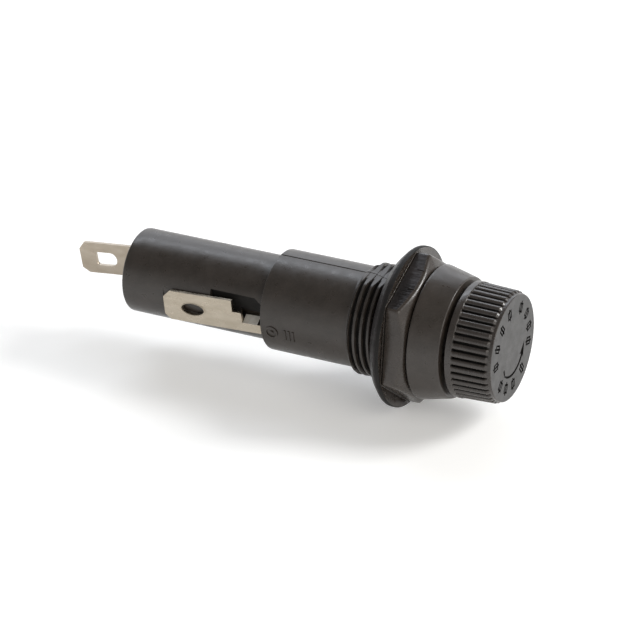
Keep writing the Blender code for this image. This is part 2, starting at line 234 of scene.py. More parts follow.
def boxes(name, spans):
    """One object of separate boxes, each given by its (low, high) along X, Y and Z."""
    made = bmesh.new()
    for span in spans:
        cube = bmesh.ops.create_cube(made, size=1)["verts"]
        bmesh.ops.scale(made, verts=cube, vec=[(high - low) * 1e-3 for low, high in span])
        bmesh.ops.translate(made, verts=cube, vec=[(high + low) * 5e-4 for low, high in span])
    return new_piece(name, made)


def combine(obj, operands, operation="DIFFERENCE"):
    """Cut the operands from a piece, or join or intersect them with it, and remove them."""
    for operand in operands:
        modifier = obj.modifiers.new(operand.name, "BOOLEAN")
        modifier.operation = operation
        modifier.object = operand
        modifier.solver = "EXACT"
    result = evaluated(obj)
    for operand in operands:
        bpy.data.objects.remove(operand)
    return result


def soften(obj, width=0.05, angle=30, segments=2):
    """Round an edge-cut piece's arrises."""
    bevel = obj.modifiers.new("arris", "BEVEL")
    bevel.width = width * 1e-3
    bevel.segments = segments
    bevel.limit_method = "ANGLE"
    bevel.angle_limit = math.radians(angle)
    return evaluated(obj)


def arc(radius, start, end, steps, centre=(0, 0)):
    """Points along an arc, its start and end given in degrees."""
    across, up = centre
    points = []
    for i in range(steps + 1):
        angle = math.radians(start + (end - start) * i / steps)
        points.append((across + radius * math.cos(angle), up + radius * math.sin(angle)))
    return points


def polar(radius, angle):
    turn = math.radians(angle)
    return (radius * math.cos(turn), radius * math.sin(turn))


def paint_faces(obj, index, chosen):
    """Give another of the materials to the faces that chosen(centre in mm, normal) picks."""
    for face in obj.data.polygons:
        if chosen(face.center * 1e3, face.normal):
            face.material_index = index


def finish_piece(obj, body, materials, nodes, sharp=38):
    """Materials, shading, the body it rides on and the CAD nodes it stands for."""
    for material in materials:
        obj.data.materials.append(material)
    obj.data.shade_smooth()
    obj.data.set_sharp_from_angle(angle=math.radians(sharp))
    weigh = obj.modifiers.new("weigh", "WEIGHTED_NORMAL")
    weigh.keep_sharp = True
    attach(obj, body)
    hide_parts(*nodes)


# ---- materials -------------------------------------------------------------------------------
class Nodes:
    """A short way to write a material's node tree."""

    def __init__(self, name):
        self.material = bpy.data.materials.new(name)
        self.material.use_nodes = True
        self.tree = self.material.node_tree
        self.shader = self.tree.nodes["Principled BSDF"]
        self.coords = self.tree.nodes.new("ShaderNodeTexCoord").outputs["Object"]

    def link(self, source, target):
        self.tree.links.new(source, target)

    def noise(self, scale, detail=2.0, rough=0.5, stretch=None, seed=0.0):
        coords = self.coords
        if stretch or seed:
            mapping = self.tree.nodes.new("ShaderNodeMapping")
            mapping.inputs["Scale"].default_value = stretch or (1, 1, 1)
            mapping.inputs["Location"].default_value = (seed, seed, seed)
            self.link(coords, mapping.inputs["Vector"])
            coords = mapping.outputs["Vector"]
        node = self.tree.nodes.new("ShaderNodeTexNoise")
        node.inputs["Scale"].default_value = scale
        node.inputs["Detail"].default_value = detail
        node.inputs["Roughness"].default_value = rough
        self.link(coords, node.inputs["Vector"])
        return node.outputs["Fac"]

    def spread(self, value, low, high, source=(0.3, 0.7)):
        node = self.tree.nodes.new("ShaderNodeMapRange")
        node.inputs["From Min"].default_value, node.inputs["From Max"].default_value = source
        node.inputs["To Min"].default_value, node.inputs["To Max"].default_value = low, high
        self.link(value, node.inputs["Value"])
        return node.outputs["Result"]

    def mix(self, share, one, two):
        node = self.tree.nodes.new("ShaderNodeMix")
        node.data_type = "RGBA"
        for socket, colour in ((node.inputs[6], one), (node.inputs[7], two)):
            if isinstance(colour, tuple):
                socket.default_value = (*colour, 1)
            else:
                self.link(colour, socket)
        self.link(share, node.inputs["Factor"])
        return node.outputs[2]

    def bump(self, height, distance, before=None):
        node = self.tree.nodes.new("ShaderNodeBump")
        node.inputs["Distance"].default_value = distance * 1e-3
        self.link(height, node.inputs["Height"])
        if before is not None:
            self.link(before, node.inputs["Normal"])
        return node.outputs["Normal"]

    def set(self, **values):
        for name, value in values.items():
            self.shader.inputs[name.replace("_", " ")].default_value = value


def plastic(name, dark, light, roughness, grain=0.0025, wave=0.03, seed=0.0, hatch=0.0,
            specular=0.5):
    """Moulded black thermoplastic: fine grain, slow sink waves, uneven sheen, scuffs along Y."""
    m = Nodes(name)
    clouds = m.noise(420, 3, 0.6, seed=seed)
    speck = m.noise(5200, 2, 0.6, seed=seed)
    base = m.mix(m.spread(clouds, 0, 1), dark, light)
    pale = tuple(min(1.0, c * 1.7) for c in light)
    m.link(m.mix(m.spread(speck, 0, 0.5, (0.55, 0.8)), base, pale), m.shader.inputs["Base Color"])
    sheen = m.noise(740, 3, 0.6, seed=seed + 3)
    m.link(m.spread(sheen, roughness - 0.05, roughness + 0.07), m.shader.inputs["Roughness"])
    slow = m.bump(m.noise(300, 2, 0.5, stretch=(1, 0.6, 1), seed=seed + 7), wave)
    fine = m.bump(m.noise(7000, 2, 0.6), grain, before=slow)
    if hatch:
        fine = m.bump(m.noise(2800, 2, 0.6, stretch=(1, 0.12, 1), seed=seed), hatch, before=fine)
    m.link(fine, m.shader.inputs["Normal"])
    m.set(IOR=1.5, Specular_IOR_Level=specular)
    return m.material


def metal(name, dark, light, roughness, scale, stretch=(1, 1, 1), wave=0.004, scratch=0.0006):
    """Plated or drawn metal, streaked along the way it was worked."""
    m = Nodes(name)
    streak = m.noise(scale, 4, 0.6, stretch=stretch)
    m.link(m.mix(m.spread(streak, 0, 1), dark, light), m.shader.inputs["Base Color"])
    sheen = m.noise(scale * 2.7, 3, 0.6, stretch=stretch, seed=2)
    m.link(m.spread(sheen, roughness - 0.07, roughness + 0.1), m.shader.inputs["Roughness"])
    slow = m.bump(m.noise(350, 2, 0.5, seed=5), wave)
    fine = m.noise(scale * 9, 2, 0.6, stretch=stretch, seed=9)
    m.link(m.bump(fine, scratch, before=slow), m.shader.inputs["Normal"])
    m.set(Metallic=1.0)
    return m.material


def rubber(name):
    m = Nodes(name)
    colour = m.mix(m.noise(1500, 4), (0.012, 0.012, 0.012), (0.03, 0.03, 0.029))
    m.link(colour, m.shader.inputs["Base Color"])
    m.link(m.spread(m.noise(2600, 2), 0.65, 0.85), m.shader.inputs["Roughness"])
    m.link(m.bump(m.noise(6000, 3), 0.006), m.shader.inputs["Normal"])
    return m.material


def glass(name):
    m = Nodes(name)
    m.link(m.spread(m.noise(500, 2), 0.01, 0.05), m.shader.inputs["Roughness"])
    m.link(m.bump(m.noise(220, 2, stretch=(1, 0.3, 1)), 0.01), m.shader.inputs["Normal"])
    m.set(Base_Color=(0.93, 0.97, 0.95, 1), Transmission_Weight=1.0, IOR=1.5)
    return m.material


BODY_PLASTIC = plastic(
    "body_plastic", (0.025, 0.0200, 0.0160), (0.036, 0.0290, 0.0240), 0.31, wave=0.05, seed=1)
NUT_PLASTIC = plastic(
    "nut_plastic", (0.027, 0.0210, 0.0165), (0.038, 0.0300, 0.0245), 0.27, wave=0.04, seed=4)
# A darker, less glossy copy of the nut's plastic with fine hatch marks: the hatch is surface
# texture, the darkness is painted shade.
HATCHED_SHADE_PLASTIC = plastic(
    "hatched_flat_painted_shade", (0.008, 0.0068, 0.0068), (0.026, 0.0220, 0.0220), 0.33, seed=6, hatch=0.09,
    specular=0.17)
KNOB_PLASTIC = plastic(
    "knob_plastic", (0.025, 0.0200, 0.0170), (0.035, 0.0285, 0.0245), 0.27, 0.004, seed=9,
    specular=0.55)
FACE_PLASTIC = plastic(
    "knob_face", (0.026, 0.0245, 0.0235), (0.038, 0.036, 0.0345), 0.46, 0.009, seed=15)
# A near-black, weakly glossy copy of the plastic, painted into grooves, steps, the pocket floor and
# sunk marks as painted shade.
PAINTED_SHADE_PLASTIC = plastic(
    "painted_shade_plastic", (0.006, 0.0055, 0.005), (0.010, 0.009, 0.008), 0.6, seed=12, specular=0.22)
TIN = metal("tinned_brass", (0.365, 0.318, 0.250), (0.455, 0.403, 0.328), 0.30, 700, (1, 0.25, 1))
# Near-white, rough tin for the tang's upward faces: a painted highlight.
PAINTED_HIGHLIGHT_TIN = metal("painted_highlight_tin", (0.80, 0.75, 0.66), (0.95, 0.91, 0.84), 0.50, 1200)
TAIL_TIN = metal("tail_tin", (0.335, 0.283, 0.222), (0.44, 0.385, 0.315), 0.33, 500, (1, 0.4, 1))
NICKEL = metal("nickel_plate", (0.60, 0.58, 0.54), (0.72, 0.70, 0.66), 0.20, 500)
STEEL = metal("spring_wire", (0.36, 0.36, 0.37), (0.55, 0.55, 0.56), 0.24, 2500)
OLD_TIN = metal("darkened_tin", (0.07, 0.06, 0.05), (0.14, 0.12, 0.10), 0.5, 900)
SOLDER = metal("solder", (0.40, 0.40, 0.41), (0.58, 0.58, 0.60), 0.38, 1800)
RUBBER = rubber("neoprene")
GLASS = glass("fuse_glass")


# ---- the moulded body ------------------------------------------------------------------------
def thread_height(offset, crest=THREAD_CREST, flank=THREAD_FLANK):
    """1 on the crest and 0 at the root, for an axial offset in mm from a crest's middle."""
    down = (abs(offset) - crest) / (flank - crest)
    return 1 - smoothstep(0, 1, down) * 0.35 - 0.65 * min(1.0, max(0.0, down))


def thread_offset(angle, y):
    """How far a point is along the axis from the nearest crest of the right-hand helix."""
    phase = (y + PITCH * angle / 360 - 0.42) / PITCH
    return (phase - round(phase)) * PITCH


def neck_radius(angle, y):
    """The threaded neck: a helix with rounded run-outs, cut flat above and below the axis."""
    fade = smoothstep(THREAD_START, THREAD_START + 0.5, y) * (1 - smoothstep(9.25, THREAD_END, y))
    flash = 0.012 * math.sin(angle * 1.7 + 9 * y) + 0.012 * math.sin(angle * 0.43 + 2)
    torn = smoothstep(6.2, 5.5, y) * smoothstep(4.6, 5.0, y)
    waves = ((0.09, 0.61, 1.3), (0.07, 1.33, 0.0), (0.04, 2.9, 0.0))
    rag = torn * sum(size * math.sin(angle * rate + shift) for size, rate, shift in waves)
    height = thread_height(thread_offset(angle, y) + rag)
    radius = THREAD_ROOT_R + (THREAD_R + flash - THREAD_ROOT_R) * height * fade
    up = abs(math.sin(math.radians(angle)))
    flat = PARTING_FLAT / max(up, 0.2)
    return min(radius, max(flat, THREAD_ROOT_R - 0.1))


def parting_centre(y):
    """The parting line's angle: straight along the body, and drifting off the top near the nut."""
    return PARTING_ANGLE + 8.0 * smoothstep(9.3, 5.0, y)


def parting(angle, y):
    """The fine groove and step that the mould's parting line leaves."""
    away = angle - parting_centre(y)
    groove = -0.085 * math.exp(-((away / 0.55) ** 2))
    step = 0.035 * math.exp(-abs(away) / 2.2) if away < 0 else 0.0
    under = -0.05 * math.exp(-(((angle - 270) / 0.6) ** 2))
    return groove + step + under


def body_column(angle):
    """The body's profile at an angle: flange, neck, shell and barrel, then back along its bores."""
    front = fillet([
        (FRONT_BORE_R, -4.35, 0.0), (6.3, -4.65, 0.1), (8.5, -4.65, 0.16), (FLANGE_R, -0.52, 0.12),
        (FLANGE_R, -0.3, 0.1), (9.05, -0.3, 0.05), (9.05, -0.85, 0.05), (THREAD_ROOT_R, -0.85, 0.1),
    ])
    stations = 150
    neck = []
    for i in range(stations + 1):
        y = THREAD_START - 0.1 + (THREAD_END + 0.1 - THREAD_START) * i / stations
        neck.append((neck_radius(angle, y) + parting(angle, y) * (0.7 if y < 9 else 1), y))
    shell = []
    for y in (9.95, 10.15, 12, 14, 16, 18, 20, 22, SHOULDER - 0.25):
        r = BODY_R - 0.02 * smoothstep(14, 10.2, y) + parting(angle, y)
        shell.append((r, y))
    step = parting(angle, SHOULDER)
    back = fillet([
        (BODY_R + step, SHOULDER - 0.2, 0.0), (BODY_R + step, SHOULDER, 0.17),
        (BARREL_R, SHOULDER, 0.1), *[(BARREL_R, y, 0.0) for y in (26, 29, 32, 35, 38, 41, 44)],
        (BARREL_R, 45.8, 0.32), (4.9, 45.8, 0.16), (4.9, 44.6, 0.1), (RIVET_BORE_R, 44.6, 0.0),
        (RIVET_BORE_R, 43.4, 0.0), (FUSE_BORE_R, 43.4, 0.0), (FUSE_BORE_R, 13.2, 0.1),
        (FRONT_BORE_R, 12.6, 0.1), (FRONT_BORE_R, -4.3, 0.0),
    ])
    return front + neck + shell + back


def body_angles():
    """Even columns, with close ones across the two parting lines."""
    coarse = [
        angle for angle in even_angles(220) if not (84 < angle < 104 or 267 < angle < 273)
    ]
    fine = [84 + 0.4 * i for i in range(51)] + [267 + 0.5 * i for i in range(13)]
    return sorted(coarse + fine)


def on_barrel(radius):
    """Wrap a flat drawing round the body: a is along the axis and b is the arc length up."""
    def place(a, b, height):
        turn = math.pi - (b / radius)
        r = radius - 0.3 + height
        return (r * math.cos(turn), a, r * math.sin(turn))
    return place


def mould_marks():
    """Plain raised marks in place of a maker's: a ring with a dot, and three bars."""
    def ring(outer, inner, centre):
        return [arc(outer, 0, 345, 23, centre), arc(inner, 0, 345, 23, centre)]
    drawing = ring(0.95, 0.75, (21.35, -1.1)) + [arc(0.28, 0, 330, 11, (21.35, -1.1))]
    for i in range(3):
        a = 17.9 + 0.62 * i
        drawing.append([(a, -1.95), (a + 0.24, -1.95), (a + 0.24, -0.3), (a, -0.3)])
    return prism("mould_marks", drawing, 0.0, 0.45, on_barrel(BODY_R))


def holder_shell():
    body = lathe("holder_shell", body_column, body_angles())
    pocket_outline = [
        (SHOULDER, -POCKET_HALF), (POCKET_END, -POCKET_HALF), (POCKET_END, POCKET_HALF),
        (24.7, POCKET_HALF), (SHOULDER, 1.7),
    ]
    pocket = prism("pocket", [pocket_outline], POCKET_FLOOR, 8, lambda a, b, c: (-c, a, b))
    entries = boxes("entries", [
        (span, (-5.5, TRACK_REAR), (-1.3, 1.3))
        for span in ((TRACK_INNER, TRACK_OUTER), (-TRACK_OUTER, -TRACK_INNER))
    ])
    tracks = []
    for side in (0, 180):
        first, last = side - TRACK_BEFORE, side + TRACK_AFTER
        sector = arc(TRACK_OUTER, first, last, 16) + arc(TRACK_INNER, last, first, 16)
        track = prism(
            f"track_{side}", [sector], TRACK_FRONT, TRACK_REAR, lambda a, b, c: (a, c, b))
        tracks.append(track)
    seat_outline = [(31.3, -2), (38.4, -2), (39.0, -1.4), (39.0, 1.4), (38.4, 2), (31.3, 2)]
    seat = prism("seat", [seat_outline], 5.9, 8, lambda a, b, c: (-c, a, b))
    window = boxes("window", [((-6, -3.5), (23.5, 27.2), (-1.35, 0.4))])
    tab_slot = boxes("tab_slot", [((-6.9, -5.9), (20, SHOULDER + 0.5), (-1.3, 0.9))])
    body = combine(body, [pocket, entries, *tracks, seat, window, tab_slot])
    body = combine(body, [mould_marks()], "UNION")

    def in_groove(centre, normal):
        on_thread = THREAD_START < centre.y < THREAD_END and abs(centre.z) < PARTING_FLAT - 0.15
        return on_thread and BARREL_R < math.hypot(centre.x, centre.z) < THREAD_R - 0.3

    def on_pocket_floor(centre, normal):
        inside = SHOULDER < centre.y < POCKET_END and abs(centre.z) < POCKET_HALF
        return inside and abs(centre.x + POCKET_FLOOR) < 0.05

    # Painted shade: the thread's grooves and the side blade's pocket floor take the near-black
    # plastic.
    paint_faces(body, 1, in_groove)
    paint_faces(body, 1, on_pocket_floor)
    finishes = [BODY_PLASTIC, PAINTED_SHADE_PLASTIC]
    finish_piece(body, "holder", finishes, ["holder_body"], sharp=42)


# ---- the nut ---------------------------------------------------------------------------------
def hex_radius(angle):
    """The hexagon's radius at an angle, its corners a little rounded."""
    away = (angle - NUT_CORNER) % 60 - 30
    radius = NUT_FLAT_R / math.cos(math.radians(away))
    if radius <= NUT_CORNER_R - 0.4:
        return radius
    short = (NUT_CORNER_R - radius) / NUT_CORNER_BLEND
    return NUT_CORNER_R - NUT_CORNER_BLEND * math.log(math.exp(short) + 1)


def nut_column(angle):
    """The nut's profile at an angle: its flats and collar outside, and the thread inside."""
    radius = hex_radius(angle)
    chamfer = 0.32 + (radius - NUT_FLAT_R) * NUT_CHAMFER
    outside = fillet([
        (8.35, 0.0, 0.05), (9.0, 0.0, 0.1), (radius, chamfer, 0.4), (radius, 2.93, 0.04),
        (radius - 0.16, 2.98, 0.0), (radius - 0.16, 3.12, 0.0), (radius + 0.04, 3.16, 0.03),
        (radius + 0.04, 3.26, 0.03), (radius - 0.12, NUT_ROOT, 0.0),
        (NUT_COLLAR_R, NUT_COLLAR_FRONT, 0.12), (NUT_COLLAR_R, 3.75, 0.25),
        (10.2, NUT_REAR, 0.15), (8.4, NUT_REAR, 0.05), (8.19, NUT_REAR - 0.2, 0.0),
    ])
    inside = []
    stations = 60
    for i in range(stations + 1):
        y = NUT_REAR - 0.25 - (NUT_REAR - 0.8) * i / stations
        lift = thread_height(thread_offset(angle, y), THREAD_CREST + 0.1, THREAD_FLANK + 0.05)
        ends = smoothstep(NUT_REAR - 0.2, NUT_REAR - 0.6, y) * smoothstep(0.5, 0.9, y)
        inside.append((8.16 - (1 - lift) * 0.5 * ends, y))
    return outside + inside


def mounting_nut():
    corners = [NUT_CORNER + 60 * k + step for k in range(6) for step in (-1.2, -0.6, 0, 0.6, 1.2)]
    angles = sorted({round(angle % 360, 3) for angle in even_angles(240, 0.2) + corners})
    nut = lathe("mounting_nut_piece", nut_column, angles)
    middle = math.radians(NUT_CORNER - 30)
    along = Vector((math.sin(middle), 0, -math.cos(middle)))
    out = Vector((math.cos(middle), 0, math.sin(middle)))
    witness = []
    for at, low, high in ((2.4, 0.65, 1.8), (-1.2, 0.6, 1.65)):
        strip = boxes("witness", [((-0.07, 0.07), (low, high), (-0.2, 0.1))])
        for vert in strip.data.vertices:
            x, y, z = vert.co
            vert.co = along * (at * 1e-3 + x) + out * (NUT_FLAT_R * 1e-3 + z) + Vector((0, y, 0))
        witness.append(strip)
    nut = combine(nut, witness, "UNION")

    def in_step(centre, normal):
        return 2.97 < centre.y < 3.13 or NUT_ROOT - 0.08 < centre.y < NUT_ROOT

    # The flat facing up and the collar take the hatched, darkened plastic; its darkness is painted
    # shade.
    def hatched_or_shaded(centre, normal):
        top_flat = normal.dot(out) > 0.995 and centre.y < 2.9
        collar = centre.y > NUT_ROOT and math.hypot(centre.x, centre.z) > 9.6
        return top_flat or collar

    # Painted shade: the undercut steps between the flats and the collar take the near-black
    # plastic.
    paint_faces(nut, 1, in_step)
    paint_faces(nut, 2, hatched_or_shaded)
    finishes = [NUT_PLASTIC, PAINTED_SHADE_PLASTIC, HATCHED_SHADE_PLASTIC]
    finish_piece(nut, "nut", finishes, ["mounting_nut"], sharp=35)


def panel_gasket():
    ring = [(8.8, -0.6, 0.06), (8.8, -0.25, 0.06), (8.15, -0.25, 0.06), (8.15, -0.6, 0.06)]
    gasket = turned("gasket_ring", ring, 128)
    finish_piece(gasket, "gasket", [RUBBER], ["panel_gasket"])


# ---- the knob --------------------------------------------------------------------------------
# half of one ridge's section: (mm from the groove's middle, height as a share of the ridge's)
RIDGE_SHAPE = (
    (0.0, 0.0), (0.05, 0.02), (0.09, 0.2), (0.12, 0.55), (0.17, 0.76), (0.26, 0.9), (0.4, 0.99),
    (0.557, 1.02),
)
RIDGE_SHAPE_R = 7.8             # the radius that those distances are measured at


def ridge_columns():
    """Column angles round the knob and how far each stands up from the grooves' floor.

    A groove's middle and a ridge's crown each belong to one side only.
    """
    columns = []
    for i in range(RIDGES):
        middle = GROOVE_ANGLE + 360 * i / RIDGES
        for sign, shape in ((-1, RIDGE_SHAPE), (1, RIDGE_SHAPE[1:-1])):
            for offset, height in shape:
                angle = middle + sign * math.degrees(offset / RIDGE_SHAPE_R)
                columns.append((angle % 360, height))
    return sorted(columns)


def knob():
    """The ridged cap with its hollow skirt, its two bayonet lugs and the marks cut in its face."""
    heights = dict(ridge_columns())

    def column(angle):
        height = heights[angle]
        front = KNOB_GROOVE_R + (RIDGE_FRONT_R - KNOB_GROOVE_R) * height
        rear = KNOB_GROOVE_R + (RIDGE_REAR_R - KNOB_GROOVE_R) * height
        return fillet([
            (7.3, KNOB_FACE, 0.0), (KNOB_BAND_R, KNOB_FACE, 0.2), (KNOB_BAND_R, -11.42, 0.0),
            (max(front, 7.38), -11.12 - 0.06 * (1 - height), 0.1), (rear, RIDGE_REAR, 0.06),
            (KNOB_REAR_RING_R, -6.26, 0.06), (KNOB_REAR_RING_R, KNOB_REAR, 0.14),
            (5.7, KNOB_REAR, 0.1), (5.7, 8.6, 0.2), (4.2, 8.6, 0.1), (4.2, -3.2, 0.0),
            (RIVET_BORE_R, -3.2, 0.0), (RIVET_BORE_R, -8.5, 0.0),
        ])

    piece = lathe("knob_piece", column, list(heights), ring=False)
    lugs = boxes("lugs", [(span, (-3.1, -1.5), (-1, 1)) for span in ((5, 6.6), (-6.6, -5))])
    piece = combine(piece, [soften(lugs, 0.15, segments=3)], "UNION")
    piece = combine(piece, [face_marks()])

    def on_face(centre, normal):
        return normal.y < -0.95 and centre.y < KNOB_FACE + 0.01

    def in_groove(centre, normal):
        crest = RIDGE_REAR_R + (centre.y - RIDGE_REAR) * RIDGE_TAPER
        return -11.0 < centre.y < -6.3 and 6 < math.hypot(centre.x, centre.z) < crest - 0.14

    def in_mark(centre, normal):
        sunk = KNOB_FACE + 0.02 < centre.y < KNOB_FACE + 0.35
        return sunk and math.hypot(centre.x, centre.z) < 7

    paint_faces(piece, 2, on_face)
    # Painted shade: the grooves between the ridges and the sunk signs and arrow take the near-black
    # plastic.
    paint_faces(piece, 1, in_groove)
    paint_faces(piece, 1, in_mark)
    finishes = [KNOB_PLASTIC, PAINTED_SHADE_PLASTIC, FACE_PLASTIC]
    finish_piece(piece, "knob_carrier", finishes, ["knob"], sharp=40)


def fuse_symbol(angle):
    """A drawing's sign for a fuse: a small box with a line through it, along the radius."""
    half_long, half_wide, lead, stroke = 0.68, 0.60, 0.28, 0.15
    edge = [
        (-half_long, -half_wide), (half_long, -half_wide),
        (half_long, -stroke), (half_long + lead, -stroke),
        (half_long + lead, stroke), (half_long, stroke),
        (half_long, half_wide), (-half_long, half_wide),
        (-half_long, stroke), (-half_long - lead, stroke),
        (-half_long - lead, -stroke), (-half_long, -stroke),
    ]
    long, wide = half_long - 0.28, half_wide - 0.25
    holes = [
        [(-long, low), (long, low), (long, high), (-long, high)]
        for low, high in ((stroke, wide), (-wide, -stroke))
    ]
    turn = math.radians(angle)
    c, s = math.cos(turn), math.sin(turn)
    return [
        [((MARK_RADIUS + a) * c - b * s, (MARK_RADIUS + a) * s + b * c) for a, b in ring]
        for ring in [edge, *holes]
    ]


def turn_arrow():
    """A curved arrow inside the ring of signs, thicker towards its head, with a barbed tail."""
    radius, start, end, steps = 4.05, 226, 320, 30
    outer, inner = [], []
    for i in range(steps + 1):
        share = i / steps
        half = 0.14 + 0.13 * share
        turn = start + (end - start) * share
        outer.append(polar(radius + half, turn))
        inner.append(polar(radius - half, turn))
    tip = [polar(radius + off, turn) for off, turn in ((0.8, 316), (0.05, 347), (-0.75, 316))]
    tail = inner[0]
    barb = [(tail[0] - 0.1, tail[1] + 0.95), (tail[0] - 0.48, tail[1] + 0.8)]
    return [outer + tip + inner[::-1] + barb]


def face_marks():
    """The cutter for the signs and the arrow, sunk 0.3 mm into the face."""
    drawing = [ring for angle in MARK_ANGLES for ring in fuse_symbol(angle)] + turn_arrow()
    low, high = KNOB_FACE - 0.5, KNOB_FACE + 0.3
    return prism("face_marks", drawing, low, high, lambda a, b, c: (a, c, b))


# ---- terminals -------------------------------------------------------------------------------
def bent_tang(place):
    """The tang that runs from the strip's edge inwards and up to the contact sleeve."""
    section = [(-1.45, 0.3), (-1.35, SHEET), (-0.95, SHEET), (-0.2, -0.75), (-0.7, -1.03)]
    return prism("tang", [section], 0.8, 3.08, lambda b, c, a: place(a, b, c))


def side_terminal():
    """The blade along the barrel, notched beside its bent tang, with a burr round its hole."""
    half = SIDE_BLADE_WIDTH / 2
    lean = math.radians(SIDE_BLADE_LEAN)

    def place(a, b, c):
        along = SHOULDER + a * math.cos(lean) + b * math.sin(lean)
        up = 0.19 - a * math.sin(lean) + b * math.cos(lean)
        return (-6.15 - c, along, up)

    length = 15.55
    outline = [
        (length - 0.9, -half), (length, -half + 0.75), (length, half - 1.05), (length - 1.1, half),
        (4.6, half), (4.6, 0.55), (3.35, 0.55), (3.2, 0.45), (3.15, -0.95), (0.25, -0.95),
        (0.25, 0.35), (-2.7, 0.35), (-2.7, -1.1), (0.25, -1.1), (0.25, -half),
    ]
    at, across = SIDE_HOLE
    turns = [math.tau * k / 36 for k in range(36)]
    hole = [(at + 1.78 * math.cos(turn), across + 0.88 * math.sin(turn)) for turn in turns]
    blade = prism("side_terminal_piece", [outline, hole], 0, SHEET, place)
    blade = combine(blade, [bent_tang(place)], "UNION")
    blade = soften(blade, 0.07)

    # The tang's upward faces take the near-white tin: a painted highlight.
    def tang_top_highlight(centre, normal):
        beside = SHOULDER + 0.6 < centre.y < SHOULDER + 3.5 and -6.55 < centre.x < -5.3
        return beside and normal.z > 0.3 and centre.z < 0.4

    paint_faces(blade, 1, tang_top_highlight)
    rim = [
        [(at + (a - at) * grow, across + (b - across) * grow) for a, b in hole]
        for grow in (1.13, 1.04)
    ]
    burr = prism("burr", rim, SHEET - 0.05, SHEET + 0.06, place)
    blade = combine(blade, [soften(burr, 0.04)], "UNION")
    finish_piece(blade, "holder", [TIN, PAINTED_HIGHLIGHT_TIN], ["side_terminal"], sharp=32)


def end_terminal():
    """The tail blade: bent up from the riveted base, then cut to its outline."""
    half = END_BLADE_WIDTH / 2
    front, back = 44.85, 45.35
    inner, outer = 1.9, 2.4
    bend, crease = 0.55, 0.12
    section = [(-2.3, front), (outer - bend, front)]
    section += arc(bend, -90, 0, 6, (outer - bend, front + bend))
    section += [(outer, 58), (inner, 58)]
    section += arc(crease, 0, -90, 3, (inner - crease, back + crease))
    section += [(-2.3, back)]
    lean = math.tan(math.radians(END_BLADE_LEAN))

    def place(a, b, c):
        return (a, b, c - lean * max(0.0, b - 45.6))

    blade = prism("end_terminal_piece", [section], -half, half, place)
    rivet_hole = turned("rivet_hole", [(1.0, 44, 0), (1.0, 46, 0)], 40, ring=False)
    blade = combine(blade, [rivet_hole])
    turn = math.radians(END_BLADE_LEAN)

    def cut(a, b, c):
        along = 45.1 + a * math.cos(turn) + b * math.sin(turn)
        return (c, along, b * math.cos(turn) - a * math.sin(turn))

    length = 12.25
    wide = half + 1
    outline = [
        (-2, -wide), (length - 1.2, -wide), (length - 1.2, -half), (length, -half + 0.8),
        (length, half - 1.05), (length - 0.95, half), (length - 0.95, wide), (-2, wide),
    ]
    hole_end, hole_half, corner = length - 2.65, 1.05, 0.45
    hole = arc(corner, 0, 90, 5, (hole_end - corner, hole_half - corner))
    hole += arc(hole_half, 90, 270, 16, (hole_end - 2.45, 0))
    hole += arc(corner, 270, 360, 5, (hole_end - corner, corner - hole_half))
    blade = combine(blade, [prism("cut", [outline], -3, 3, cut)], "INTERSECT")
    blade = combine(blade, [prism("hole", [hole], -1, 3, cut)])
    blade = soften(blade, 0.07)
    finish_piece(blade, "holder", [TAIL_TIN], ["end_terminal"], sharp=32)


# ---- the pieces inside -----------------------------------------------------------------------
def contact_sleeve():
    """A sleeve left open along one side, where it springs onto the knob's fuse clip."""
    wall = arc(4.4, 20, 340, 60) + arc(4.15, 340, 20, 60)
    sleeve = prism("contact_sleeve_piece", [wall], 13.5, 27.5, lambda a, b, c: (a, c, b))
    finish_piece(soften(sleeve, 0.05), "holder", [OLD_TIN], ["contact_sleeve"])


def nickel_piece(node, piece, body):
    finish_piece(piece, body, [NICKEL], [node])


def rivets():
    """The tail's rivet and washer, and the rivet that fixes the fuse clip in the knob."""
    end = [
        (1.3, 42.15, 0.15), (1.3, 42.5, 0.05), (0.7, 42.5, 0), (0.7, 46.1, 0), (1.25, 46.1, 0.05),
        (1.25, 46.4, 0.2),
    ]
    nickel_piece("end_rivet", turned("end_rivet_piece", end, 48, ring=False), "holder")
    washer = [
        (1.6, 45.6, 0.06), (1.6, 45.9, 0.08), (RIVET_BORE_R, 45.9, 0.04),
        (RIVET_BORE_R, 45.6, 0.04),
    ]
    nickel_piece("end_washer", turned("end_washer_piece", washer, 48), "holder")
    drive = [(0.7, -8.2, 0.15), (0.7, -2.25, 0), (1.3, -2.25, 0.05), (1.3, -1.9, 0.2)]
    rivet = turned("knob_rivet_piece", drive, 48, ring=False)
    nickel_piece("knob_rivet", rivet, "knob_carrier")


def cups():
    """The rear contact's cup, the plunger that pushes on the fuse, and the spring's seat."""
    rear = [
        (4.25, 40.95, 0.08), (4.25, 43.15, 0.35), (1.0, 43.15, 0.05), (1.0, 42.75, 0.05),
        (3.85, 42.75, 0.25), (3.85, 40.95, 0.08),
    ]
    nickel_piece("rear_contact_cup", turned("rear_cup_piece", rear, 96), "holder")
    plunger = [
        (1.6, 7.4, 0.1), (1.8, 7.65, 0.1), (1.8, 9.0, 0.15), (3.1, 9.0, 0.1), (3.1, 9.9, 0.25),
    ]
    nickel_piece("contact_cup", turned("plunger_piece", plunger, 64, ring=False), "plunger")
    seat = [(3.2, -2.2, 0.08), (3.2, -1.75, 0.08), (1.6, -1.75, 0.08), (1.6, -2.2, 0.08)]
    nickel_piece("spring_seat", turned("spring_seat_piece", seat, 64), "seat")


